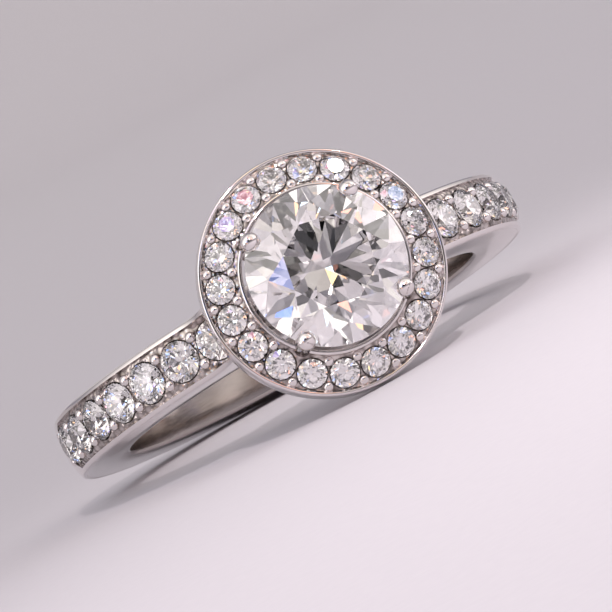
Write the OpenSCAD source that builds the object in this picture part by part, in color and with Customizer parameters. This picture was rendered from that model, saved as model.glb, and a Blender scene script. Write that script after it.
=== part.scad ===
// Halo ring lying on its side: a round brilliant in four prongs, a sloping halo of small stones
// round it, and a single row of stones down each shoulder of the shank.
// The ring is built upright in its own frame, with x across the finger, y along the finger
// and z towards the centre stone, and then laid down on the halo's rim and the foot of the shank.

/* [Shank] */
// Inside diameter, for the finger
finger_d = 16.5; // [15:0.1:21]
// Thickness of the shank in the middle of its width
shank_t = 2.5; // [2.1:0.1:2.9]
// Width of the shank along the finger
shank_w = 2.5; // [2.4:0.1:3.6]
// Height of the shank's low dome over its edges
shank_crown = 0.18; // [0.1:0.02:0.22]
// Bevel on the outer edges
outer_bevel = 0.08; // [0.04:0.02:0.14]
// Rounding of the inner edges, made as a bevel
comfort_bevel = 0.15; // [0.1:0.05:0.4]

/* [Shoulder stones] */
// Stones on each shoulder
shoulder_count = 7; // [4:1:8]
// Diameter of each stone
shoulder_d = 1.7; // [1.3:0.1:1.8]
// Gap between the girdles of two neighbours
shoulder_gap = 0.14; // [0.1:0.02:0.3]
// Angle from the top of the ring to the first stone
shoulder_start = 25.5; // [24:0.5:32]
// Width of the polished rim on each side
shank_rim_w = 0.2; // [0.15:0.05:0.3]
// Depth of the bright cut inside those rims
shank_rim_cut = 0.15; // [0.1:0.01:0.2]
// Depth of the pave floor below the top of the dome
channel_depth = 0.2; // [0.15:0.05:0.3]
// Flat left on the pave floor beside the stones
channel_side = 0.05; // [0.04:0.01:0.1]
// Diameter of the shared grain beads
shoulder_bead_d = 0.5; // [0.4:0.02:0.6]
// Height of the beads' middles above the pave floor
shoulder_bead_lift = 0.03; // [0:0.01:0.1]
// Distance of each bead row from the middle of the shank
shoulder_bead_row = 0.6; // [0.5:0.05:0.75]

/* [Halo] */
// Height of the halo's rim above the shank
halo_rise = 1.65; // [1.4:0.05:2.2]
// Height of the outer wall
halo_wall = 0.85; // [0.75:0.05:1.1]
// How much the underside rises from the outer wall in to the collar
halo_lift = 0.2; // [0.1:0.05:0.25]
// Slope of the pave field, in degrees
halo_slope = 24; // [10:1:30]
// Width of the polished outer rim
halo_rim_w = 0.17; // [0.1:0.01:0.3]
// Depth of the bright cut inside the rim
halo_cut = 0.12; // [0.08:0.01:0.2]
// Width of the bright cut inside the rim
halo_cut_w = 0.07; // [0.04:0.01:0.15]
// Width of the polished inner collar
collar_w = 0.2; // [0.15:0.01:0.3]
// Height of the collar above the pave field
collar_rise = 0.3; // [0.1:0.05:0.5]
// Diameter of each halo stone
halo_stone_d = 1.20; // [0.9:0.02:1.3]
// Least gap between the girdles of two neighbours
halo_gap = 0.09; // [0.08:0.01:0.2]
// Bare field between the collar and the stones
field_in = 0.13; // [0.1:0.01:0.2]
// Bare field between the stones and the bright cut
field_out = 0.05; // [0.04:0.01:0.1]
// Diameter of the shared grain beads
halo_bead_d = 0.44; // [0.3:0.02:0.5]
// Distance of the outer beads from the stones' circle
bead_out = 0.44; // [0.4:0.01:0.5]
// Distance of the inner beads from the stones' circle
bead_in = 0.48; // [0.44:0.01:0.52]

/* [Centre stone] */
// Diameter of the centre stone
centre_d = 6.5; // [5.5:0.1:6.6]
// Height of its girdle above the halo's rim
centre_rise = 1.15; // [1.0:0.05:1.6]
// Thickness of its girdle
centre_girdle = 0.16; // [0.1:0.02:0.3]

/* [Prongs] */
// Diameter of the prong wires
prong_d = 0.7; // [0.6:0.02:0.8]
// Diameter of the round prong tips
tip_d = 0.8; // [0.7:0.02:0.9]
// How far the wires stand out beyond the collar
prong_out = 0.25; // [0.2:0.01:0.26]
// How far the tips lean in over the girdle
tip_in = 0.09; // [0:0.01:0.3]
// Height of the middle of the tips above the girdle
tip_lift = 0.1; // [0:0.05:0.3]
// Radius at which the basket's feet meet the shank
foot_r = 1.4; // [1.2:0.05:1.5]

/* [Raised shoulders] */
// Radius of the sweep from the shank up to the halo
sweep_r = 2.5; // [1.5:0.1:2.8]
// Distance from the halo's wall in to the top of the sweep
sweep_in = 0.25; // [0.1:0.05:0.5]
// How far the sweep bites into the shank's edge
sweep_bite = 0.06; // [0.04:0.02:0.1]
// Thickness of the sweep's side walls
sweep_wall = 0.25; // [0.15:0.05:0.3]
// Distance from the middle out to the posts under the halo
post_in = 3.3; // [3.2:0.05:3.5]
// Thickness of the posts under the halo
post_t = 0.55; // [0.4:0.05:0.6]
// How far the posts reach up into the halo
post_grip = 0.3; // [0.25:0.05:0.35]

/* [Cut] */
// Table width as a share of a stone's diameter
table_share = 0.57; // [0.53:0.01:0.62]
// Angle of the crown mains
crown_angle = 34.5; // [30:0.5:36]
// Angle of the pavilion mains
pavilion_angle = 40.8; // [39:0.2:42]
// Girdle thickness of the small stones
small_girdle = 0.06; // [0.04:0.01:0.1]
// Clear gap between every stone and its seat
seat_gap = 0.03; // [0.02:0.01:0.06]

/* [Hidden] */
$fn = 96;
eps = 0.05;

finger_r = finger_d / 2;
shank_r = finger_r + shank_t;
floor_r = shank_r - channel_depth;
dome_half = shank_w / 2 - outer_bevel;
dome_r = (pow(dome_half, 2) + pow(shank_crown, 2)) / 2 / shank_crown;
edge_r = shank_r - shank_crown;
side_r = edge_r - outer_bevel;

shoulder_step = 2 * asin((shoulder_d + shoulder_gap) / 2 / floor_r);
shoulder_end = shoulder_start + (shoulder_count - 1) * shoulder_step;

// Outwards from the centre stone: its collar, the row of small stones, the bright cut, the rim.
centre_r = centre_d / 2;
collar_in_r = centre_r + seat_gap;
collar_out_r = collar_in_r + collar_w;
halo_stone_reach = halo_stone_d / 2 * cos(halo_slope);
halo_circle_r = collar_out_r + field_in + halo_stone_reach;
field_out_r = halo_circle_r + halo_stone_reach + field_out;
halo_r = field_out_r + halo_cut_w + halo_rim_w;

// The stones come in fours, so that every prong stands between two of them.
halo_count = 4 * floor(45 / asin((halo_stone_d + halo_gap) / 2 / halo_circle_r));
halo_step = 360 / halo_count;

halo_z = shank_r + halo_rise;
halo_foot_z = halo_z - halo_wall;
field_out_z = halo_z - halo_cut;
centre_z = halo_z + centre_rise;
collar_z = field_z(collar_out_r) + collar_rise;
prong_r = collar_out_r + prong_out - prong_d / 2;
tip_r = centre_r - tip_in;
tip_z = centre_z + centre_girdle + tip_lift;
prong_first = halo_step * (floor(45 / halo_step) + 0.5);

crown_rise = (1 - table_share) / 2 * tan(crown_angle);
centre_top_z = centre_z + centre_girdle + centre_d * crown_rise;

// The sweep runs into the shank at a slight angle, as a filed fillet does.
sweep_x = halo_r - sweep_in;
sweep_z = sqrt(pow(edge_r + sweep_r - sweep_bite, 2) - pow(sweep_x + sweep_r, 2));

// Lying on its side, the ring touches the surface with the foot of the halo's wall
// and with the edge of the shank opposite the stone.
rest_tilt = atan((halo_r - shank_w / 2) / (halo_foot_z + side_r));
rest_z = shank_w / 2 * cos(rest_tilt) + side_r * sin(rest_tilt);
reach_front = centre_top_z * cos(rest_tilt) + centre_d * table_share / 2 * sin(rest_tilt);
back_at = min(dome_r * sin(rest_tilt), dome_half);
reach_back = dome_at(back_at) * cos(rest_tilt) + back_at * sin(rest_tilt);

metal_colour = [0.80, 0.78, 0.76];
stone_colour = [0.93, 0.95, 0.97];

function two_digits(n) = str(n < 10 ? "0" : "", n);
halo_names = [for (i = [1 : halo_count]) str("halo_stone_", two_digits(i))];
left_names = [for (i = [1 : shoulder_count]) str("shoulder_stone_l", i)];
right_names = [for (i = [1 : shoulder_count]) str("shoulder_stone_r", i)];

// Height of the sloping pave field at a distance from the middle of the halo.
function field_z(r) = field_out_z + (field_out_r - r) * tan(halo_slope);

// Radius of the shank's domed outside at a distance from the middle of its width.
function dome_at(y) = shank_r - dome_r + sqrt(pow(dome_r, 2) - pow(y, 2));

// A point at radius r, angle a and height z.
function polar(r, a, z) = [r * cos(a), r * sin(a), z];

// Laid down: the finger axis stands nearly upright and the stone faces -y.
module at_rest() {
    translate([0, (reach_front - reach_back) / 2, rest_z])
        rotate([90 - rest_tilt, 0, 0])
            children();
}

// Something that stands on the shank at an angle from the top, its z pointing outwards.
module on_shank(angle, side, r = floor_r) {
    rotate([0, side * angle, 0])
        translate([0, 0, r])
            children();
}

// Something on the halo's pave field at a place in the row of stones.
module on_halo(place, r = halo_circle_r) {
    rotate([0, 0, place * halo_step])
        translate([r, 0, field_z(r)])
            rotate([0, halo_slope, 0])
                children();
}

// Round brilliant with its girdle's lower edge at z = 0: table, 8 star, 8 main and 16 upper
// girdle facets above, 16 lower girdle and 8 main facets below. The arc between two girdle
// corners has arc_parts parts, whose points lie in the planes of the facets that they end.
module brilliant(d, girdle, arc_parts) {
    r = d / 2;
    table_r = r * table_share;
    crown_slope = tan(crown_angle);
    table_z = girdle + (r - table_r) * crown_slope;
    pavilion_slope = tan(pavilion_angle);
    depth = r * pavilion_slope;
    star_r = table_r * cos(22.5) + 0.52 * (r - table_r * cos(22.5));
    star_z = table_z - (star_r * cos(22.5) - table_r) * crown_slope;
    lower_r = r * 0.26;
    lower_z = -depth + lower_r * cos(22.5) * pavilion_slope;

    n = 16 * arc_parts;
    // A girdle point's drop below the chord, by the slope of the facet from the inner point.
    function girdle_slope(inner_r, rise) =
        rise / (r * cos(11.25) - inner_r * cos(11.25));
    upper = girdle_slope(star_r, star_z - girdle);
    lower = girdle_slope(lower_r, -lower_z);
    function bulge(j) = r * (cos(11.25 - 22.5 * (j % arc_parts) / arc_parts) - cos(11.25));

    table = [for (k = [0 : 7]) polar(table_r, 45 * k, table_z)];
    stars = [for (k = [0 : 7]) polar(star_r, 45 * k + 22.5, star_z)];
    top_edge = [for (j = [0 : n - 1]) polar(r, 360 * j / n, girdle - bulge(j) * upper)];
    low_edge = [for (j = [0 : n - 1]) polar(r, 360 * j / n, bulge(j) * lower)];
    halves = [for (k = [0 : 7]) polar(lower_r, 45 * k + 22.5, lower_z)];
    culet = [[0, 0, -depth]];

    star_at = 8;
    top_at = 16;
    low_at = 16 + n;
    half_at = 16 + 2 * n;
    culet_at = half_at + 8;
    function arc(first, from) = [for (j = [0 : arc_parts]) first + (from + j) % n];
    function back(list) = [for (i = [len(list) - 1 : -1 : 0]) list[i]];

    faces = concat(
        [[7, 6, 5, 4, 3, 2, 1, 0]],
        [for (k = [0 : 7]) [k, (k + 1) % 8, star_at + k]],
        [for (k = [0 : 7]) [k, star_at + k, top_at + 2 * arc_parts * k, star_at + (k + 7) % 8]],
        [for (k = [0 : 7], h = [0, 1])
            concat([star_at + k], back(arc(top_at, (2 * k + h) * arc_parts)))],
        [for (j = [0 : n - 1])
            [top_at + j, top_at + (j + 1) % n, low_at + (j + 1) % n, low_at + j]],
        [for (k = [0 : 7], h = [0, 1])
            concat([half_at + k], arc(low_at, (2 * k + h) * arc_parts))],
        [for (k = [0 : 7])
            [culet_at, half_at + (k + 7) % 8, low_at + 2 * arc_parts * k, half_at + k]]);
    polyhedron(concat(table, stars, top_edge, low_edge, halves, culet), faces, convexity = 2);
}

// The round space that a stone turns in, clear of its facets by the seat gap.
module seat(d, girdle) {
    r = d / 2 + seat_gap;
    lift = seat_gap / cos(crown_angle);
    top_r = d / 2 * table_share;
    top = girdle + (r - top_r) * tan(crown_angle) + lift - seat_gap * tan(crown_angle);
    rotate_extrude()
        polygon([
            [0, -d / 2 * tan(pavilion_angle) - 2 * seat_gap],
            [r, -seat_gap / 2],
            [r, girdle + seat_gap / 2],
            [top_r, top],
            [0, top]]);
}

// The plain hoop, its section domed outside and bevelled at all four corners.
module hoop() {
    half = shank_w / 2;
    rotate([90, 0, 0])
        rotate_extrude()
            intersection() {
                polygon([
                    [finger_r + comfort_bevel, -half],
                    [side_r, -half],
                    [edge_r, -dome_half],
                    [shank_r + 1, -dome_half],
                    [shank_r + 1, dome_half],
                    [edge_r, dome_half],
                    [side_r, half],
                    [finger_r + comfort_bevel, half],
                    [finger_r, half - comfort_bevel],
                    [finger_r, comfort_bevel - half]]);
                translate([shank_r - dome_r, 0])
                    circle(r = dome_r);
            }
}

// The sunk bed of one shoulder's stones, from under the halo to the last stone.
module channel(side) {
    top_half = shank_w / 2 - shank_rim_w;
    low_half = shoulder_d / 2 + channel_side;
    rim_foot = dome_at(top_half) - shank_rim_cut;
    first = side > 0 ? 90 - shoulder_end : 90 + shoulder_start - shoulder_step;
    rotate([90, 0, 0])
        rotate_extrude(angle = shoulder_end - shoulder_start + shoulder_step, start = first)
            polygon([
                [floor_r, -low_half],
                [rim_foot, -top_half],
                [shank_r + 1, -top_half],
                [shank_r + 1, top_half],
                [rim_foot, top_half],
                [floor_r, low_half]]);
    on_shank(shoulder_end, side, floor_r - eps)
        cylinder(r = (top_half + low_half) / 2, h = 1);
}

// The sweep from the shank's rims up to the halo, on both sides of the stone.
module raised_shoulders() {
    core_r = finger_r + shank_t / 2;
    top_z = halo_foot_z + post_grip;
    centre = [sweep_x + sweep_r, sweep_z];
    core = centre * core_r / norm(centre);
    for (side = [-1, 1])
        rotate([90, 0, 0])
            translate([0, 0, -shank_w / 2])
                linear_extrude(shank_w)
                    difference() {
                        polygon([
                            [side * post_in, core[1]],
                            [side * core[0], core[1]],
                            [side * centre[0], centre[1]],
                            [side * sweep_x, sweep_z],
                            [side * sweep_x, top_z],
                            [side * post_in, top_z]]);
                        translate([side * centre[0], centre[1]])
                            circle(r = sweep_r);
                        circle(r = core_r);
                    }
}

// The space between the side walls, where the first stone of the row shows.
module sweep_room(side) {
    room = shank_w - 2 * sweep_wall;
    post_out = post_in + post_t;
    x = side > 0 ? post_out : -post_out - shank_r;
    difference() {
        translate([x, -room / 2, 0])
            cube([shank_r, room, halo_foot_z + halo_lift / 4]);
        rotate([90, 0, 0])
            cylinder(r = floor_r, h = shank_w, center = true);
    }
}

// The halo: outer wall, rim, bright cut, sloping pave field, collar and underside.
module halo_dish() {
    rotate_extrude()
        polygon([
            [collar_in_r, halo_foot_z + halo_lift],
            [halo_r, halo_foot_z],
            [halo_r, halo_z - 0.04],
            [halo_r - 0.04, halo_z],
            [halo_r - halo_rim_w, halo_z],
            [field_out_r, field_out_z],
            [collar_out_r + 0.02, field_z(collar_out_r + 0.02)],
            [collar_out_r, collar_z - 0.05],
            [collar_out_r - 0.05, collar_z],
            [collar_in_r + 0.05, collar_z],
            [collar_in_r, collar_z - 0.05]]);
}

// A straight round wire between two points of one upright plane.
module wire(from, to, d) {
    step = to - from;
    translate([from[0], 0, from[1]])
        rotate([0, atan2(step[0], step[1]), 0])
            cylinder(d = d, h = norm(step), $fn = 48);
}

// One wire of the basket, from its foot on the shank to its round tip over the stone.
module prong() {
    bend_z = halo_foot_z + 0.5;
    foot_z = sqrt(pow(shank_r, 2) - pow(foot_r, 2)) - 0.35;
    wire([foot_r, foot_z], [prong_r, bend_z], prong_d);
    translate([prong_r, 0, bend_z])
        sphere(d = prong_d, $fn = 48);
    wire([prong_r, bend_z], [tip_r, tip_z], prong_d);
    translate([tip_r, 0, tip_z])
        sphere(d = tip_d, $fn = 48);
}

module basket() {
    for (corner = [0 : 3])
        rotate([0, 0, prong_first + 90 * corner])
            prong();
}

// True where a bead's place in the row is taken by a prong.
function prong_there(place) =
    min([for (corner = [0 : 4]) abs(place * halo_step - prong_first - 90 * corner)]) < halo_step / 3;

module halo_beads() {
    for (i = [0 : halo_count - 1]) {
        place = i + 0.5;
        on_halo(place, halo_circle_r + bead_out)
            sphere(d = halo_bead_d, $fn = 24);
        if (!prong_there(place))
            on_halo(place, halo_circle_r - bead_in)
                sphere(d = halo_bead_d, $fn = 24);
    }
}

module shoulder_beads(side) {
    for (i = [0 : shoulder_count], row = [-1, 1])
        on_shank(shoulder_start + (i - 0.5) * shoulder_step, side, floor_r + shoulder_bead_lift)
            translate([0, row * shoulder_bead_row, 0])
                sphere(d = shoulder_bead_d, $fn = 24);
}

module place_halo_stone(i) {
    on_halo(i)
        children();
}

module place_shoulder_stone(i, side) {
    on_shank(shoulder_start + i * shoulder_step, side)
        children();
}

module place_centre_stone() {
    translate([0, 0, centre_z])
        rotate([0, 0, 11.25])
            children();
}

// The shank with its raised shoulders, stone beds, grain beads and cut seats.
module set_shank() {
    difference() {
        union() {
            difference() {
                union() {
                    hoop();
                    raised_shoulders();
                }
                for (side = [-1, 1]) {
                    channel(side);
                    sweep_room(side);
                }
            }
            for (side = [-1, 1])
                shoulder_beads(side);
        }
        for (i = [0 : shoulder_count - 1], side = [-1, 1])
            place_shoulder_stone(i, side)
                seat(shoulder_d, small_girdle);
    }
}

// The halo with its grain beads and cut seats.
module set_halo() {
    difference() {
        union() {
            halo_dish();
            halo_beads();
        }
        for (i = [0 : halo_count - 1])
            place_halo_stone(i)
                seat(halo_stone_d, small_girdle);
    }
}

// All the soldered metal, with the notches that the centre stone sits in.
module ring_mount() {
    color(metal_colour)
        at_rest()
            difference() {
                union() {
                    set_shank();
                    set_halo();
                    basket();
                }
                place_centre_stone()
                    seat(centre_d, centre_girdle);
            }
}

module centre_stone() {
    color(stone_colour)
        at_rest()
            place_centre_stone()
                brilliant(centre_d, centre_girdle, 4);
}

module halo_stone(i) {
    color(stone_colour)
        at_rest()
            place_halo_stone(i)
                brilliant(halo_stone_d, small_girdle, 1);
}

module shoulder_stone(i, side) {
    color(stone_colour)
        at_rest()
            place_shoulder_stone(i, side)
                brilliant(shoulder_d, small_girdle, 1);
}

ring_mount();
centre_stone();
for (i = [0 : halo_count - 1])
    halo_stone(i);
for (i = [0 : shoulder_count - 1]) {
    shoulder_stone(i, -1);
    shoulder_stone(i, 1);
}
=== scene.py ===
# Halo ring lying on its side. Ring sizes are in millimetres, in the ring's own axes:
# x across the finger, y along the finger, z towards the centre stone.
import math

import bmesh
import bpy
from mathutils import Matrix, Vector


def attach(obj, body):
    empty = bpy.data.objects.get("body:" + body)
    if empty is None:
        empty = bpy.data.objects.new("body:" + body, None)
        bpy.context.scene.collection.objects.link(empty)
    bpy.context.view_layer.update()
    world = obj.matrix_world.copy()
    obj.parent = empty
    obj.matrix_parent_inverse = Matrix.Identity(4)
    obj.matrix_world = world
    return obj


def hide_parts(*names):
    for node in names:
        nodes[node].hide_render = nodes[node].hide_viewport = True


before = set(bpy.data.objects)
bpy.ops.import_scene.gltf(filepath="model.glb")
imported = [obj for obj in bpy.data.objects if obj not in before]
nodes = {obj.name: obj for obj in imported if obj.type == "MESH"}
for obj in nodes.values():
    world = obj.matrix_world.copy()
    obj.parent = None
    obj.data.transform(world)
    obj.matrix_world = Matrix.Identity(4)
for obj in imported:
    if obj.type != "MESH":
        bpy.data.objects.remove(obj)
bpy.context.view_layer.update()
print("frame:", len(nodes), "nodes")

lying = {
    "tilt": 9.646656,  # degrees between the finger hole and upright
    "shift": 2.060213,  # from the ring's middle to the middle of its box
    "lift": 2.990151,  # from the floor to the ring's middle
}
ringToFloor = (
    Matrix.Scale(0.001, 4)
    @ Matrix.Translation((0, lying["shift"], lying["lift"]))
    @ Matrix.Rotation(math.radians(90 - lying["tilt"]), 4, "X")
)


def hexColour(text):  # sRGB hex to linear, with an alpha of 1
    channels = [int(text[i:i + 2], 16) / 255 for i in (0, 2, 4)]
    return [c / 12.92 if c <= 0.04045 else ((c + 0.055) / 1.055) ** 2.4 for c in channels] + [1.0]


def addNode(tree, kind, settings=None, links=None):
    node = tree.nodes.new(kind)
    for name, value in (settings or {}).items():
        if name in node.inputs.keys():
            node.inputs[name].default_value = value
        else:
            setattr(node, name, value)
    for name, source in (links or {}).items():
        tree.links.new(source, node.inputs[name])
    return node


# Rhodium-plated white gold, machine polished: near mirror with a faint warm cast, fine wheel
# lines that only show as a slight haze, and shallow dents from the hand finish. Inside the hoop
# the finger has rubbed it to a rougher satin, and its colour there is painted shade: darker and greyer.
polished = {
    "outside": {"bright": "ede8e7", "dull": "e3dddb", "roughness": (0.05, 0.09)},
    # inside: rougher satin, with darker, greyer colours that are painted shade inside the hoop
    "inside": {"bright": "c9c2be", "dull": "b0a9a5", "roughness": (0.12, 0.18)},
    "wheelLine": 0.06,  # mm between polishing lines, drawn coarser than real so that they show
    "lineStretch": (0.12, 0.12, 1.0),  # the lines run along the hoop
    "lineDepth": 0.000002,  # metres
    "handDent": 3.5,  # mm across the soft waves of the hand polish
    "dentDepth": 0.00003,  # metres
}


def makePolishedGold(name, finish):
    material = bpy.data.materials.new(name)
    material.use_nodes = True
    tree = material.node_tree
    shader = tree.nodes["Principled BSDF"]
    shader.inputs["Metallic"].default_value = 1.0
    place = addNode(tree, "ShaderNodeTexCoord").outputs["Object"]
    wave = addNode(tree, "ShaderNodeTexNoise", {"Scale": 1000 / polished["handDent"], "Detail": 0.0},
                   {"Vector": place}).outputs["Fac"]
    lines = addNode(tree, "ShaderNodeMapping", {"Scale": polished["lineStretch"]}, {"Vector": place})
    fine = addNode(tree, "ShaderNodeTexNoise", {"Scale": 1000 / polished["wheelLine"], "Detail": 3.0},
                   {"Vector": lines.outputs["Vector"]}).outputs["Fac"]
    low, high = finish["roughness"]
    rough = addNode(tree, "ShaderNodeMapRange",
                    {"From Min": 0.35, "From Max": 0.65, "To Min": low, "To Max": high}, {"Value": fine})
    tree.links.new(rough.outputs["Result"], shader.inputs["Roughness"])
    tint = addNode(tree, "ShaderNodeMix", {"data_type": "RGBA"})
    tint.inputs[6].default_value = hexColour(finish["bright"])
    tint.inputs[7].default_value = hexColour(finish["dull"])
    tree.links.new(wave, tint.inputs[0])
    tree.links.new(tint.outputs[2], shader.inputs["Base Color"])
    soft = addNode(tree, "ShaderNodeBump", {"Strength": 0.5, "Distance": polished["dentDepth"]},
                   {"Height": wave})
    sharp = addNode(tree, "ShaderNodeBump", {"Strength": 0.25, "Distance": polished["lineDepth"]},
                    {"Height": fine, "Normal": soft.outputs["Normal"]})
    tree.links.new(sharp.outputs["Normal"], shader.inputs["Normal"])
    return material


# The same gold where the setter's graver has cut it between the stones. Its colour is painted
# shade: darker and browner than the polished metal, darkest where the graver cuts meet.
graved = {
    "ground": "e2d9d5",
    # painted shade: the dark brown the ground turns to between the graver cuts
    "hollowShade": "4a403b",
    "cut": 0.24,  # mm, length of one graver cut
    "cutDepth": 0.00006,  # metres
    "roughness": 0.12,
}


def makeGravedShadedGold():
    material = bpy.data.materials.new("whiteGoldGraverCutShaded")
    material.use_nodes = True
    tree = material.node_tree
    shader = tree.nodes["Principled BSDF"]
    shader.inputs["Metallic"].default_value = 1.0
    shader.inputs["Roughness"].default_value = graved["roughness"]
    place = addNode(tree, "ShaderNodeTexCoord").outputs["Object"]
    cuts = addNode(tree, "ShaderNodeTexVoronoi", {"Scale": 1000 / graved["cut"]}, {"Vector": place})
    # painted shade: the colour darkens from ground to hollow towards the edges of each graver cut
    tint = addNode(tree, "ShaderNodeMix", {"data_type": "RGBA"})
    tint.inputs[6].default_value = hexColour(graved["ground"])
    tint.inputs[7].default_value = hexColour(graved["hollowShade"])
    tree.links.new(cuts.outputs["Distance"], tint.inputs[0])
    tree.links.new(tint.outputs[2], shader.inputs["Base Color"])
    bump = addNode(tree, "ShaderNodeBump", {"Strength": 1.0, "Distance": graved["cutDepth"]},
                   {"Height": cuts.outputs["Distance"]})
    tree.links.new(bump.outputs["Normal"], shader.inputs["Normal"])
    return material


# Colourless diamond, brilliant cut and lapped: strong bending of light and mirror-like facets.
# Faint clouds inside shift its colour a touch between cool and warm.
diamond = {
    "cool": "f4f7fb",
    "warm": "fbf6f0",
    "ior": 2.417,
    "roughness": 0.0,
    "cloud": 1.4,  # mm across one cloud
}


def makeDiamond():
    material = bpy.data.materials.new("diamondLapped")
    material.use_nodes = True
    tree = material.node_tree
    shader = tree.nodes["Principled BSDF"]
    shader.inputs["IOR"].default_value = diamond["ior"]
    shader.inputs["Roughness"].default_value = diamond["roughness"]
    shader.inputs["Transmission Weight"].default_value = 1.0
    place = addNode(tree, "ShaderNodeTexCoord").outputs["Object"]
    cloud = addNode(tree, "ShaderNodeTexNoise", {"Scale": 1000 / diamond["cloud"], "Detail": 1.0},
                    {"Vector": place}).outputs["Fac"]
    tint = addNode(tree, "ShaderNodeMix", {"data_type": "RGBA"})
    tint.inputs[6].default_value = hexColour(diamond["cool"])
    tint.inputs[7].default_value = hexColour(diamond["warm"])
    tree.links.new(cloud, tint.inputs[0])
    tree.links.new(tint.outputs[2], shader.inputs["Base Color"])
    return material


polishedGold = makePolishedGold("rhodiumPlatedGoldPolished", polished["outside"])
# the satin inside of the hoop, whose darker colour is painted shade
satinShadedGold = makePolishedGold("rhodiumPlatedGoldSatinShaded", polished["inside"])
gravedShadedGold = makeGravedShadedGold()
diamondStone = makeDiamond()
print("materials made")


def rotateAbout(axis, degrees):
    return Matrix.Rotation(math.radians(degrees), 4, axis)


def closedOutline(bm, points):
    verts = [bm.verts.new(point) for point in points]
    return [bm.edges.new((verts[i - 1], verts[i])) for i in range(len(verts))]


def roundedCorner(middle, radius, start, end, parts):  # points of an arc in a flat outline
    angles = [math.radians(start + (end - start) * i / parts) for i in range(parts + 1)]
    return [(middle[0] + radius * math.cos(a), middle[1] + radius * math.sin(a)) for a in angles]


weldGap = 0.0008  # mm, closer vertices become one


def metalPiece(name, bm, material, sharpAngle=50):
    bmesh.ops.remove_doubles(bm, verts=bm.verts[:], dist=weldGap)
    bmesh.ops.recalc_face_normals(bm, faces=bm.faces[:])
    bmesh.ops.transform(bm, matrix=ringToFloor, verts=bm.verts[:])
    mesh = bpy.data.meshes.new(name)
    bm.to_mesh(mesh)
    bm.free()
    mesh.shade_smooth()
    mesh.set_sharp_from_angle(angle=math.radians(sharpAngle))
    mesh.materials.append(material)
    piece = bpy.data.objects.new(name, mesh)
    bpy.context.scene.collection.objects.link(piece)
    even = piece.modifiers.new("evenNormals", "WEIGHTED_NORMAL")
    even.keep_sharp = True
    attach(piece, "root")
    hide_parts("ring_mount")
    print("piece:", name, len(mesh.polygons), "faces")
    return piece


# Shank: one band all the way round, with the stone beds sunk into its shoulders and the rims of
# the beds sweeping up to the halo.
shank = {
    "fingerR": 8.25,
    "outsideR": 10.75,  # top of the low dome
    "domeR": 3.8925,
    "halfWidth": 1.25,
    "edgeR": 10.57,
    "edgeRound": 0.11,
    "comfort": 0.15,
    "flatInside": 0.6,  # half width of the flat part inside
    "satinTo": 8.36,  # radius up to which the inside is satin
    "sideR": (9.2, 9.9),
    "line": [(0.0, -0.07), (-0.03, -0.045), (-0.03, -0.02), (0.0, 0.0)],  # turned under the rims
    "lineBelow": 0.06,  # from the edge's rounding down to that line
    "rimInner": 1.05,  # from the middle of the band to the inside of a rim
    "rimDomed": 1.16,  # the rim's columns inside this follow the dome
    "lip": 0.035,  # size of the rim's inner edge
    "lipCorner": (0.01, 0.006),
    "bedR": 9.72,  # under the stones' points
    "bedWall": [(0.004, 10.2), (0.02, 9.8)],
    "bedFloor": (0.99, 0.84, 0.66, 0.44, 0.22),
    "bedEnd": 85.5,  # degrees from the top to the last stone
    "bedEndR": 0.975,
    "bedEndLeast": 0.2,  # mm that the bed's end bulges at its sides
    "sweepMiddle": (7.246, 10.805),
    "sweepR": 2.5,
    "sweepX": 4.746,
    "sweepBite": 0.06,
    "sweepFade": 0.03,  # mm lost in each degree past the sweep's foot
    "sweepTo": 42,  # degrees
    "sweepSoft": 0.05,  # mm over which the sweep blends into the rim
    "postInner": 3.3,
    "postOuter": 3.85,
    "postTop": 11.8,
    "postFoot": 10.6,
}
# Where the sections stand along the hoop, in degrees from the top, and how many each part has.
sections = {
    "gap": 0.05,  # on both sides of a step
    "fineTo": 34.5,  # close sections as far as the sweep reaches
    "bedStep": 1.5,
    "bedLast": (85.0, 86.2, 87.4, 88.6, 89.6, 90.4),
    "backFirst": (90.5, 91.4, 92.4, 93.5),
    "count": {"top": 7, "post": 3, "sweep": 34, "bed": 33, "back": 44},
}


def domeAt(y):
    return shank["outsideR"] - shank["domeR"] + math.sqrt(shank["domeR"] ** 2 - y * y)


def shankStations():  # half the hoop, from the top down to the opposite side
    gap, fineTo, count = sections["gap"], sections["fineTo"], sections["count"]
    postIn = math.degrees(math.atan2(shank["postInner"], shank["postTop"]))
    postOut = math.degrees(math.atan2(shank["postOuter"], shank["postFoot"]))
    backFrom = sections["backFirst"][-1]

    def between(start, end, parts, kind):
        return [(start + (end - start) * i / parts, kind) for i in range(parts + 1)]

    stations = between(0, postIn, count["top"], "top")
    stations += between(postIn + gap, postOut - gap, count["post"], "post")
    stations += between(postOut + gap, fineTo, count["sweep"], "bed")
    stations += [(fineTo + sections["bedStep"] * i, "bed") for i in range(1, count["bed"] + 1)]
    stations += [(angle, "bed") for angle in sections["bedLast"]]
    stations += [(angle, "back") for angle in sections["backFirst"]]
    stations += between(backFrom, 180, count["back"], "back")[1:]
    return stations


def sweepRise(angle):  # how far the rims stand above the plain band
    if angle > shank["sweepTo"]:
        return 0.0
    a = math.radians(angle)
    x, z = shank["sweepMiddle"]
    along = x * math.sin(a) + z * math.cos(a)
    inside = along ** 2 - x ** 2 - z ** 2 + shank["sweepR"] ** 2
    tangent = math.degrees(math.atan2(x, z))
    if angle > tangent:
        reach = shank["edgeR"] - shank["sweepBite"] - shank["sweepFade"] * (angle - tangent)
    elif inside > 0 and angle > math.degrees(math.atan2(shank["sweepX"], z)):
        reach = along - math.sqrt(inside)
    else:
        reach = min(shank["sweepX"] / math.sin(a), shank["postTop"] / math.cos(a))
    above = reach - shank["edgeR"]
    return (above + math.hypot(above, shank["sweepSoft"])) / 2


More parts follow.
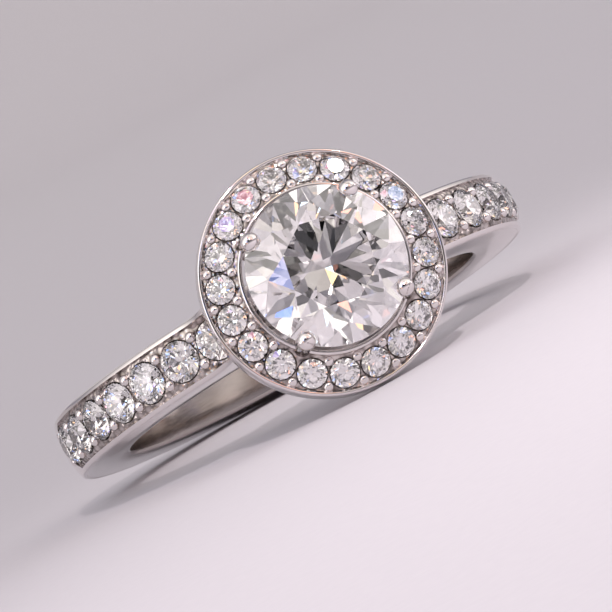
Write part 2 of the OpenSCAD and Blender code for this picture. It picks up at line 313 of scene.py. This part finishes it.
def shankColumns():  # (y, radius, what it belongs to), once round the section
    half, edge, edgeRound, comfort = (shank[k] for k in ("halfWidth", "edgeR", "edgeRound", "comfort"))
    inner, line = shank["rimInner"], edge - edgeRound - shank["lineBelow"]
    lip, (cornerY, cornerDrop) = shank["lip"], shank["lipCorner"]
    right = [(y, shank["fingerR"], "inside") for y in (0.0, shank["flatInside"])]
    right += [(y, r, "inside") for y, r in roundedCorner(
        (half - comfort, shank["fingerR"] + comfort), comfort, -90, 0, 4)]
    right += [(half, r, "inside") for r in shank["sideR"]]
    right += [(half + y, line + r, "rim") for y, r in shank["line"]]
    right += [(y, r, "rim") for y, r in roundedCorner(
        (half - edgeRound, edge - edgeRound), edgeRound, 0, 78, 4)]
    right += [(inner + lip, domeAt(inner + lip), "rim")]
    right += [(inner + cornerY, domeAt(inner) - cornerDrop, "rim")]
    right += [(inner, domeAt(inner) - lip, "lip")]
    right += [(inner - y, r, "bed") for y, r in shank["bedWall"]]
    right += [(y, shank["bedR"], "bed") for y in shank["bedFloor"]]
    middle = [(0.0, shank["bedR"], "bed")]
    left = [(-y, r, kind) for y, r, kind in reversed(right[1:])]
    return right + middle + left


def makeShank():
    columns = shankColumns()
    half = shankStations()
    stations = half + [(360 - angle, kind) for angle, kind in reversed(half[1:-1])]
    bm = bmesh.new()
    columnOf = bm.verts.layers.int.new("column")
    edges = closedOutline(bm, [(0, y, r) for y, r, kind in columns])
    for index, vert in enumerate(bm.verts):
        vert[columnOf] = index
    bmesh.ops.spin(bm, geom=bm.verts[:] + edges, cent=(0, 0, 0), axis=(0, 1, 0), dvec=(0, 0, 0),
                   angle=2 * math.pi, steps=len(stations), use_merge=True)
    step = 2 * math.pi / len(stations)
    bedFrom, bedTo = sections["bedLast"][0], sections["bedLast"][-1]
    backFrom, backTo = sections["backFirst"][0], sections["backFirst"][-1]
    # beside the bed only the rims sweep up, over a post the whole top does
    rises = {"top": (), "post": ("rim", "lip", "bed"), "bed": ("rim", "lip"), "back": ()}
    for vert in bm.verts:
        y, radius, belongs = columns[vert[columnOf]]
        station = round(math.atan2(vert.co.x, vert.co.z) / step) % len(stations)
        angle, kind = stations[station]
        fromTop = min(angle, 360 - angle)
        domed = belongs in ("lip", "bed") or (belongs == "rim" and abs(y) < shank["rimDomed"])
        r = domeAt(y) if domed and kind != "bed" else radius
        if belongs in rises[kind]:
            r += sweepRise(fromTop)
        if bedFrom < fromTop < backTo:  # the bed ends in a half circle round its last stone
            reach = math.sqrt(max(shank["bedEndR"] ** 2 - y * y, shank["bedEndLeast"] ** 2))
            end = shank["bedEnd"] + math.degrees(reach / shank["outsideR"])
            if fromTop <= bedTo:
                bent = bedFrom + (end - bedFrom) * (fromTop - bedFrom) / (bedTo - bedFrom)
            else:
                end += 2 * sections["gap"]
                bent = end + (backTo - end) * (fromTop - backFrom) / (backTo - backFrom)
            angle = bent if angle < 180 else 360 - bent
        a = math.radians(angle)
        vert.co = Vector((r * math.sin(a), y, r * math.cos(a)))
    for face in bm.faces:
        touching = [columns[vert[columnOf]] for vert in face.verts]
        # faces inside the hoop take the satin material with its painted shade
        satin = all(belongs == "inside" and radius < shank["satinTo"] for y, radius, belongs in touching)
        face.material_index = int(satin)
    piece = metalPiece("shankBand", bm, polishedGold, sharpAngle=40)
    piece.data.materials.append(satinShadedGold)


makeShank()

# Pave plates of the shoulders: a thin skin with a drilled seat under every stone.
shoulders = {
    "count": 7,
    "first": 25.5,  # degrees from the top to the first stone
    "step": 10.0056,
    "floorR": 10.55,
    "stoneR": 0.85,
    "seatR": 0.9,
    "pavilion": 40.8,
    "flat": 0.9,  # half width of the flat floor
    "grooveY": 1.056,
    "grooveR": 10.452,
    "underHalo": 3.2,  # degrees that the plate runs on towards the post
    "joinWithin": 0.002,
    "edgeWithin": 0.004,
}
seat = {
    "around": 48,
    "haloAround": 32,
    "lip": 0.015,  # mm down to the sharp lip of a shoulder's seat
    "haloLip": 0.03,
    "under": 0.06,  # mm of room under a stone's point
    "flat": 0.04,  # share of the seat's width that is flat under the point
    "haloFlat": 0.05,
}


def squareToRing(bm, segments, corner, hole):
    # a sheet between a square outline and a round hole, as two matched loops
    outer = bmesh.ops.create_circle(bm, segments=segments, radius=1.0)["verts"]
    inner = bmesh.ops.create_circle(bm, segments=segments, radius=1.0)["verts"]
    outerEdges = list({edge for vert in outer for edge in vert.link_edges})
    holeEdges = list({edge for vert in inner for edge in vert.link_edges})
    bmesh.ops.bridge_loops(bm, edges=outerEdges + holeEdges)
    for vert in outer:
        reach = max(abs(vert.co.x), abs(vert.co.y))
        vert.co = corner(vert.co.x / reach, vert.co.y / reach)
    for vert in inner:
        vert.co = hole(vert.co.x, vert.co.y)
    return holeEdges


def drillSeat(bm, edges, lower):
    # the seat's wall, from the sheet's hole down to a small flat under the stone's point
    for place in lower:
        made = bmesh.ops.extrude_edge_only(bm, edges=edges)["geom"]
        edges = [item for item in made if isinstance(item, bmesh.types.BMEdge)]
        for vert in {vert for edge in edges for vert in edge.verts}:
            vert.co = place(vert.co)
    bmesh.ops.edgeloop_fill(bm, edges=edges)


def makeShoulderPlate(side):
    bm = bmesh.new()
    floorR, seatR = shoulders["floorR"], shoulders["seatR"]
    slope = math.tan(math.radians(shoulders["pavilion"]))
    halfStep = math.radians(shoulders["step"]) / 2

    def onFloor(x, y):
        a = x * halfStep
        return Vector((floorR * math.sin(a), y * shoulders["flat"], floorR * math.cos(a)))

    def aroundHole(x, y):
        flatX = x * seatR
        return Vector((flatX, y * seatR, math.sqrt(floorR ** 2 - flatX ** 2)))

    def atLip(co):
        return Vector((co.x, co.y, floorR - seat["lip"]))

    def underPoint(co):
        depth = shoulders["stoneR"] * slope + seat["under"]
        return Vector((co.x * seat["flat"], co.y * seat["flat"], floorR - depth))

    drillSeat(bm, squareToRing(bm, seat["around"], onFloor, aroundHole), [atLip, underPoint])
    bmesh.ops.rotate(bm, verts=bm.verts[:], cent=(0, 0, 0),
                     matrix=Matrix.Rotation(side * math.radians(shoulders["first"]), 3, "Y"))
    bmesh.ops.spin(bm, geom=bm.verts[:] + bm.edges[:] + bm.faces[:], cent=(0, 0, 0), axis=(0, side, 0),
                   dvec=(0, 0, 0), angle=math.radians(shoulders["step"] * (shoulders["count"] - 1)),
                   steps=shoulders["count"] - 1, use_duplicate=True)
    bmesh.ops.remove_doubles(bm, verts=bm.verts[:], dist=shoulders["joinWithin"])
    within = shoulders["edgeWithin"]
    # the strips down into the grooves beside the rims
    sides = [edge for edge in bm.edges if edge.is_boundary
             and all(abs(abs(vert.co.y) - shoulders["flat"]) < within for vert in edge.verts)]
    made = bmesh.ops.extrude_edge_only(bm, edges=sides)["geom"]
    for vert in [item for item in made if isinstance(item, bmesh.types.BMVert)]:
        out = shoulders["grooveR"] / math.hypot(vert.co.x, vert.co.z)
        vert.co = Vector((vert.co.x * out, math.copysign(shoulders["grooveY"], vert.co.y), vert.co.z * out))
    # the end under the halo runs on to the post
    start = math.radians(shoulders["first"]) - halfStep
    ends = [edge for edge in bm.edges if edge.is_boundary
            and all(abs(math.atan2(abs(vert.co.x), vert.co.z) - start) < within for vert in edge.verts)]
    made = bmesh.ops.extrude_edge_only(bm, edges=ends)["geom"]
    moved = [item for item in made if isinstance(item, bmesh.types.BMVert)]
    bmesh.ops.rotate(bm, verts=moved, cent=(0, 0, 0),
                     matrix=Matrix.Rotation(-side * math.radians(shoulders["underHalo"]), 3, "Y"))
    metalPiece("shoulderPave" + ("Right" if side > 0 else "Left"), bm, gravedShadedGold, sharpAngle=35)


makeShoulderPlate(-1)
makeShoulderPlate(1)

# Halo: the dish with its wall, polished rim, bright cut and collar.
halo = {
    "r": 4.99625,
    "z": 12.4,
    "footZ": 11.55,
    "footLift": 0.2,
    "footR": 4.2,  # where the underside turns up towards the collar
    "footSag": 0.09,
    "rimWidth": 0.17,
    "cutWidth": 0.07,
    "cutDepth": 0.12,
    "slope": 24,
    "collarIn": 3.28,
    "collarOut": 3.48,
    "collarRise": 0.3,
    "collarRound": 0.09,
    "edgeRound": 0.085,
    "innerRound": 0.07,
    "bedZ": 11.93,  # bottom of the room for the stones' points
    "bedIn": 0.03,  # that room is this much narrower than the sloping ground
    "bedWall": (0.01, 12.1),
    "overlap": 0.014,  # by which the pave ground reaches into the collar and the bright cut
    "circleR": 4.15813,
    "count": 20,
    "stoneR": 0.6,
    "seatR": 0.655,
}
fieldOuterR = halo["r"] - halo["rimWidth"] - halo["cutWidth"]


def fieldZ(r):  # the sloping ground between the rim and the collar
    return halo["z"] - halo["cutDepth"] + (fieldOuterR - r) * math.tan(math.radians(halo["slope"]))


def makeHaloDish():
    soft, inner, collar = halo["edgeRound"], halo["innerRound"], halo["collarRound"]
    rimIn = halo["r"] - halo["rimWidth"]
    collarZ = fieldZ(halo["collarOut"]) + halo["collarRise"]
    wallIn, wallZ = halo["bedWall"]
    outline = [(halo["collarIn"], halo["footZ"] + halo["footLift"])]
    outline += [(halo["footR"], halo["footZ"] + halo["footSag"])]
    outline += roundedCorner((halo["r"] - soft, halo["footZ"] + soft), soft, -90, 0, 3)
    outline += roundedCorner((halo["r"] - soft, halo["z"] - soft), soft, 0, 90, 5)
    outline += roundedCorner((rimIn + inner, halo["z"] - inner), inner, 85, 180, 5)
    outline += [(fieldOuterR, fieldZ(fieldOuterR)), (fieldOuterR - wallIn, wallZ)]
    bedTurns = (fieldOuterR - halo["bedIn"], halo["footR"], halo["collarOut"] + halo["bedIn"])
    outline += [(r, halo["bedZ"]) for r in bedTurns]
    outline += [(halo["collarOut"], fieldZ(halo["collarOut"]))]
    outline += roundedCorner((halo["collarOut"] - collar, collarZ - collar), collar, 0, 90, 5)
    outline += roundedCorner((halo["collarIn"] + collar, collarZ - collar), collar, 90, 180, 5)
    outline += [(halo["collarIn"], halo["z"])]
    bm = bmesh.new()
    edges = closedOutline(bm, [(r, 0, z) for r, z in outline])
    bmesh.ops.spin(bm, geom=bm.verts[:] + edges, cent=(0, 0, 0), axis=(0, 0, 1), dvec=(0, 0, 0),
                   angle=2 * math.pi, steps=192, use_merge=True)
    metalPiece("haloDish", bm, polishedGold, sharpAngle=40)


makeHaloDish()


# Pave ground of the halo: one drilled cell, turned round for every stone.
def makeHaloPlate():
    bm = bmesh.new()
    halfStep = math.pi / halo["count"]
    middle = (halo["circleR"], 0, fieldZ(halo["circleR"]))
    place = Matrix.Translation(middle) @ rotateAbout("Y", halo["slope"])
    tilt = math.sin(math.radians(halo["slope"])) / halo["circleR"]
    depth = halo["stoneR"] * math.tan(math.radians(shoulders["pavilion"]))

    def onField(x, y):
        wide = fieldOuterR - halo["collarOut"] + halo["overlap"]
        r = (halo["collarOut"] + fieldOuterR) / 2 + x * wide / 2
        a = y * halfStep
        return Vector((r * math.cos(a), r * math.sin(a), fieldZ(r)))

    def aroundHole(x, y):
        across = y * halo["seatR"]
        return place @ Vector((x * halo["seatR"], across, -across * across * tilt / 2))

    back = place.inverted()

    def atLip(co):
        flat = back @ co
        return place @ Vector((flat.x, flat.y, -seat["haloLip"]))

    def underPoint(co):
        flat = (back @ co) * seat["haloFlat"]
        return place @ Vector((flat.x, flat.y, -depth - seat["under"]))

    drillSeat(bm, squareToRing(bm, seat["haloAround"], onField, aroundHole), [atLip, underPoint])
    bmesh.ops.spin(bm, geom=bm.verts[:] + bm.edges[:] + bm.faces[:], cent=(0, 0, 0), axis=(0, 0, 1),
                   dvec=(0, 0, 0), angle=2 * math.pi * (halo["count"] - 1) / halo["count"],
                   steps=halo["count"] - 1, use_duplicate=True)
    metalPiece("haloPave", bm, gravedShadedGold, sharpAngle=35)


makeHaloPlate()

# Grain beads, pushed up with a burnisher at the corners between the stones.
beads = {
    "shoulderD": 0.48,
    "shoulderRow": 0.6,
    "shoulderLift": 0.03,
    "haloD": 0.42,
    "haloOut": 0.44,
    "haloIn": 0.48,
    "prongFirst": 45.0,  # no inner bead stands where a prong does
    "burnished": 0.78,  # height of a bead over its half width
}


def addBall(bm, matrix, diameter, around=16, up=10):
    bmesh.ops.create_uvsphere(bm, u_segments=around, v_segments=up, radius=diameter / 2, matrix=matrix)


def makeShoulderBeads():
    bm = bmesh.new()
    flatten = Matrix.Scale(beads["burnished"], 4, (0, 0, 1))
    height = shoulders["floorR"] + beads["shoulderLift"]
    for side in (-1, 1):
        for i in range(shoulders["count"] + 1):
            angle = side * (shoulders["first"] + (i - 0.5) * shoulders["step"])
            for row in (-1, 1):
                place = Matrix.Translation((0, row * beads["shoulderRow"], height))
                addBall(bm, rotateAbout("Y", angle) @ place @ flatten, beads["shoulderD"])
    metalPiece("shoulderBeads", bm, polishedGold, sharpAngle=180)


def makeHaloBeads():
    bm = bmesh.new()
    flatten = rotateAbout("Y", halo["slope"]) @ Matrix.Scale(beads["burnished"], 4, (0, 0, 1))
    step = 360 / halo["count"]
    for i in range(halo["count"]):
        angle = (i + 0.5) * step
        nearProng = min(abs(angle - beads["prongFirst"] - 90 * k) for k in range(5)) < step / 3
        for offset in [beads["haloOut"]] if nearProng else [beads["haloOut"], -beads["haloIn"]]:
            r = halo["circleR"] + offset
            place = Matrix.Translation((r, 0, fieldZ(r)))
            addBall(bm, rotateAbout("Z", angle) @ place @ flatten, beads["haloD"])
    metalPiece("haloBeads", bm, polishedGold, sharpAngle=180)


makeShoulderBeads()
makeHaloBeads()

# Basket: four wires from the shank to round tips over the centre stone.
basket = {
    "wireD": 0.7,
    "tipD": 0.8,
    "footR": 1.4,
    "footZ": 10.3,
    "bendR": 3.38,
    "bendZ": 12.05,
    "tipR": 3.16,
    "tipZ": 13.81,
    "girdleR": 3.28,  # with the clear gap
    "girdleZ": 13.55,
    "girdle": 0.16,
    "notchGap": 0.015,  # between the notch in a prong and the girdle
    "crown": 34.5,
    "pavilion": 40.8,
}


def addWire(bm, start, end, diameter):
    way = Vector(end) - Vector(start)
    matrix = way.to_track_quat("Z", "Y").to_matrix().to_4x4()
    matrix.translation = (Vector(start) + Vector(end)) / 2
    bmesh.ops.create_cone(bm, cap_ends=True, segments=32, radius1=diameter / 2, radius2=diameter / 2,
                          depth=way.length, matrix=matrix)


def cutAway(bm, point, normal):  # drops what lies on the normal's side of a plane and closes the cut
    made = bmesh.ops.bisect_plane(bm, geom=bm.verts[:] + bm.edges[:] + bm.faces[:], plane_co=point,
                                  plane_no=normal, clear_outer=True)["geom_cut"]
    bmesh.ops.holes_fill(bm, edges=[item for item in made if isinstance(item, bmesh.types.BMEdge)], sides=0)


def prongPart(addShape, settings, cut=None):
    part = bmesh.new()
    addShape(part, *settings)
    if cut:
        cutAway(part, *cut)
    mesh = bpy.data.meshes.new("prongPart")
    part.to_mesh(mesh)
    part.free()
    return mesh


def makeBasket():
    foot = (basket["footR"], 0, basket["footZ"])
    bend = (basket["bendR"], 0, basket["bendZ"])
    tip = (basket["tipR"], 0, basket["tipZ"])
    girdleR = basket["girdleR"]
    top = basket["girdleZ"] + basket["girdle"] + basket["notchGap"]
    low = basket["girdleZ"] - basket["notchGap"]
    crown, pavilion = math.radians(basket["crown"]), math.radians(basket["pavilion"])
    overCrown = ((girdleR, 0, top), (-math.sin(crown), 0, -math.cos(crown)))
    underGirdle = ((girdleR, 0, low), (-math.sin(pavilion), 0, math.cos(pavilion)))
    outside = ((girdleR, 0, 0), (-1, 0, 0))
    wireD = basket["wireD"]
    elbow = (Matrix.Translation(bend), wireD, 32, 20)
    claw = (Matrix.Translation(tip), basket["tipD"], 32, 20)
    parts = [
        prongPart(addWire, (foot, bend, wireD)),
        prongPart(addBall, elbow),
        prongPart(addWire, (bend, tip, wireD), underGirdle),
        prongPart(addWire, (bend, tip, wireD), outside),
        prongPart(addBall, claw, outside),
        prongPart(addBall, claw, overCrown),
    ]
    bm = bmesh.new()
    for part in parts:
        bm.from_mesh(part)
        bpy.data.meshes.remove(part)
    bmesh.ops.rotate(bm, verts=bm.verts[:], cent=(0, 0, 0),
                     matrix=Matrix.Rotation(math.radians(beads["prongFirst"]), 3, "Z"))
    bmesh.ops.spin(bm, geom=bm.verts[:] + bm.edges[:] + bm.faces[:], cent=(0, 0, 0), axis=(0, 0, 1),
                   dvec=(0, 0, 0), angle=math.radians(270), steps=3, use_duplicate=True)
    metalPiece("prongBasket", bm, polishedGold)


makeBasket()
print("metal modelled")

# Stones: the cut solids keep their facets and get the diamond.
for name, node in nodes.items():
    if "stone" in name:
        node.data.materials.clear()
        node.data.materials.append(diamondStone)

# Floor: a sheet of matt paper, flat under the ring and curved up far away on all sides.
paper = {
    "flatR": 1000,
    "bendR": 300,
    "bendParts": 12,
    "wall": 10,
    "around": 96,
    "colour": "cbc9ce",
    "shade": "c5c3c9",
    "fibre": 0.5,  # mm between fibres
    "roughness": 0.9,
}


def makePaper():
    bm = bmesh.new()
    flatR, bendR = paper["flatR"], paper["bendR"]
    outline = [(0.0, 0.0)] + roundedCorner((flatR, bendR), bendR, -90, 0, paper["bendParts"])
    outline.append((flatR + bendR, bendR + paper["wall"]))
    verts = [bm.verts.new((r, 0, z)) for r, z in outline]
    edges = [bm.edges.new(pair) for pair in zip(verts, verts[1:])]
    bmesh.ops.spin(bm, geom=verts + edges, cent=(0, 0, 0), axis=(0, 0, 1), dvec=(0, 0, 0),
                   angle=2 * math.pi, steps=paper["around"], use_merge=True)
    bmesh.ops.remove_doubles(bm, verts=bm.verts[:], dist=0.01)
    bmesh.ops.recalc_face_normals(bm, faces=bm.faces[:])
    bmesh.ops.scale(bm, vec=(0.001, 0.001, 0.001), verts=bm.verts[:])
    mesh = bpy.data.meshes.new("paperSweep")
    bm.to_mesh(mesh)
    bm.free()
    mesh.shade_smooth()
    material = bpy.data.materials.new("mattPaper")
    material.use_nodes = True
    tree = material.node_tree
    shader = tree.nodes["Principled BSDF"]
    shader.inputs["Roughness"].default_value = paper["roughness"]
    place = addNode(tree, "ShaderNodeTexCoord").outputs["Object"]
    fibre = addNode(tree, "ShaderNodeTexNoise", {"Scale": 1000 / paper["fibre"], "Detail": 3.0},
                    {"Vector": place})
    tint = addNode(tree, "ShaderNodeMix", {"data_type": "RGBA"})
    tint.inputs[6].default_value = hexColour(paper["colour"])
    tint.inputs[7].default_value = hexColour(paper["shade"])
    tree.links.new(fibre.outputs["Fac"], tint.inputs[0])
    tree.links.new(tint.outputs[2], shader.inputs["Base Color"])
    mesh.materials.append(material)
    floor = bpy.data.objects.new("paperSweep", mesh)
    bpy.context.scene.collection.objects.link(floor)


makePaper()

# Camera: the photograph's view, set in the ring's own axes.
view = {
    "roll": 28.693,  # degrees
    "tiltAlong": 6.175,
    "tiltAcross": 10.958,
    "distance": 200.0,  # mm from the aim
    "aim": (-1.208, -0.836, 12.0),
    "focalPixels": 5058.1,
    "imageWidth": 612,
    "sensor": 36,
    "clip": (0.01, 3),  # metres
}


def makeCamera():
    along, across, roll = (math.radians(view[k]) for k in ("tiltAlong", "tiltAcross", "roll"))
    back = Vector((-math.sin(across), -math.sin(along) * math.cos(across),
                   math.cos(along) * math.cos(across)))
    level = Vector((1, 0, 0))
    level = (level - back * level.dot(back)).normalized()
    upright = back.cross(level)
    right = level * math.cos(roll) - upright * math.sin(roll)
    up = level * math.sin(roll) + upright * math.cos(roll)
    turn = ringToFloor.to_3x3() * 1000
    placed = Matrix([turn @ right, turn @ up, turn @ back]).transposed().to_4x4()
    placed.translation = ringToFloor @ (Vector(view["aim"]) + back * view["distance"])
    data = bpy.data.cameras.new("photoView")
    data.sensor_width = view["sensor"]
    data.lens = view["sensor"] * view["focalPixels"] / view["imageWidth"]
    data.clip_start, data.clip_end = view["clip"]
    camera = bpy.data.objects.new("photoView", data)
    camera.matrix_world = placed
    bpy.context.scene.collection.objects.link(camera)
    bpy.context.scene.camera = camera


makeCamera()

# The studio is a white tent, open and dark round the camera and dim behind the ring. A soft glow in
# the dim part and a shaded patch high in front keep the flat side faces from turning black or
# burning out. Bearing 0 is where the centre stone faces and 90 is to its right. Angles are in
# degrees, sizes in millimetres.
tent = {
    "colour": "fff8f4",
    "bright": 1.8,
    "openings": [
        {"bearing": 180, "height": 30, "inner": 15, "outer": 95, "colour": "b0aec2", "bright": 0.45},
        {"bearing": 196, "height": 36, "inner": 4, "outer": 24, "colour": "fff8f6", "bright": 0.9},
        {"bearing": 24, "height": 42, "inner": 8, "outer": 48, "colour": "fff4f0", "bright": 0.9},
        {"bearing": -8, "height": 5, "inner": 22, "outer": 42, "colour": "ffffff", "bright": 0.02},
    ],
}
# Flat panels in front of the tent: bearing, height, width, height of the panel, radiance, colour.
# The bright strips draw the rims, the small tinted ones give the stones their fire, and the
# black cards give them contrast.
panelDistance = 900
panelAim = (0, 0, 4)
panels = {
    "stripLeft": (-88, 7, 500, 150, 2.0, "fff8fa"),
    "stripRight": (96, 6, 500, 130, 2.0, "fff6f8"),
    "frontWindow": (2, 26, 120, 70, 4.0, "fff2f4"),
    "fireBlue": (-36, 22, 140, 140, 1.9, "4f86ff"),
    "fireOrange": (30, 34, 130, 130, 1.9, "ff8e3c"),
    "firePink": (-4, 61, 100, 100, 1.8, "ff6f9f"),
    "fireSky": (-52, 40, 140, 140, 1.9, "7ed4ff"),
    "fireYellow": (10, 50, 115, 115, 1.9, "ffd058"),
    "fireViolet": (-22, 56, 115, 115, 1.8, "a878ff"),
    "firePale": (64, 27, 140, 140, 1.9, "7fb4ff"),
    "firePeach": (-46, 4, 130, 130, 1.9, "ffba78"),
    "fireRed": (22, 22, 90, 90, 1.9, "ff8a68"),
    "fireIndigo": (-16, 36, 105, 105, 1.9, "6aa0ff"),
    "cardTopLeft": (-62, 60, 325, 250, 0.02, "ffffff"),
    "cardTopRight": (66, 54, 325, 250, 0.02, "ffffff"),
    "cardTop": (0, 72, 300, 150, 0.02, "ffffff"),
    "cardRight": (80, 14, 200, 300, 0.02, "ffffff"),
    "cardLeft": (-72, 22, 200, 250, 0.02, "ffffff"),
    "cardHighLeft": (-36, 40, 140, 140, 0.02, "ffffff"),
    "cardLowRight": (42, 20, 150, 175, 0.02, "ffffff"),
    "cardHigh": (26, 48, 140, 110, 0.02, "ffffff"),
    "cardHighRight": (50, 42, 140, 140, 0.02, "ffffff"),
    "cardLowLeft": (-58, 12, 110, 150, 0.02, "ffffff"),
}
# Narrow lamps on the floor in front and to the right, whose reflection whitens the halo's lower rim.
spots = {
    "floorFront": {"bearing": 0, "height": 45, "aim": (20, -80, 0), "reach": 75, "power": 26},
    "floorRight": {"bearing": 60, "height": 50, "aim": (70, -60, 0), "reach": 70, "power": 16},
}
spotLamp = {"radius": 0.02, "blend": 0.8, "colour": "fff4f6"}


def directionTo(bearing, height):
    bearing, height = math.radians(bearing), math.radians(height)
    level = math.cos(height)
    return Vector((math.sin(bearing) * level, -math.cos(bearing) * level, math.sin(height)))


def brightColour(text, bright):
    return [c * bright for c in hexColour(text)[:3]] + [1.0]


def addLamp(data, place, way):
    lamp = bpy.data.objects.new(data.name, data)
    lamp.location = place / 1000
    lamp.rotation_mode = "QUATERNION"
    lamp.rotation_quaternion = way.to_track_quat("Z", "Y")
    lamp.visible_camera = False
    bpy.context.scene.collection.objects.link(lamp)


def makeStudio():
    world = bpy.data.worlds.new("tentAir")
    world.use_nodes = True
    tree = world.node_tree
    around = addNode(tree, "ShaderNodeTexCoord").outputs["Generated"]
    colour = None
    for opening in tent["openings"]:
        towards = addNode(tree, "ShaderNodeVectorMath", {"operation": "DOT_PRODUCT"})
        towards.inputs[1].default_value = directionTo(opening["bearing"], opening["height"])
        tree.links.new(around, towards.inputs[0])
        inside = addNode(tree, "ShaderNodeMapRange", {
            "interpolation_type": "SMOOTHSTEP",
            "From Min": math.cos(math.radians(opening["outer"])),
            "From Max": math.cos(math.radians(opening["inner"])),
        }, {"Value": towards.outputs["Value"]})
        mix = addNode(tree, "ShaderNodeMix", {"data_type": "RGBA"})
        mix.inputs[6].default_value = brightColour(tent["colour"], tent["bright"])
        mix.inputs[7].default_value = brightColour(opening["colour"], opening["bright"])
        tree.links.new(inside.outputs["Result"], mix.inputs[0])
        if colour:
            tree.links.new(colour, mix.inputs[6])
        colour = mix.outputs[2]
    tree.links.new(colour, tree.nodes["Background"].inputs["Color"])
    bpy.context.scene.world = world
    for name, (bearing, height, wide, tall, bright, tint) in panels.items():
        data = bpy.data.lights.new(name, "AREA")
        data.shape = "RECTANGLE"
        data.size, data.size_y = wide / 1000, tall / 1000
        data.energy = bright * math.pi * data.size * data.size_y
        data.color = hexColour(tint)[:3]
        way = directionTo(bearing, height)
        addLamp(data, Vector(panelAim) + way * panelDistance, way)
    for name, spot in spots.items():
        data = bpy.data.lights.new(name, "SPOT")
        data.energy = spot["power"]
        data.color = hexColour(spotLamp["colour"])[:3]
        data.shadow_soft_size = spotLamp["radius"]
        data.spot_size = 2 * math.atan(spot["reach"] / panelDistance)
        data.spot_blend = spotLamp["blend"]
        way = directionTo(spot["bearing"], spot["height"])
        addLamp(data, Vector(spot["aim"]) + way * panelDistance, way)


makeStudio()
bpy.context.scene.view_settings.view_transform = "Standard"
# light crosses a brilliant many times before it comes out
bounces = {"all": 24, "stone": 20, "metal": 8}
cycles = bpy.context.scene.cycles
cycles.max_bounces = bounces["all"]
cycles.transmission_bounces = bounces["stone"]
cycles.glossy_bounces = bounces["metal"]
print("camera and studio ready")
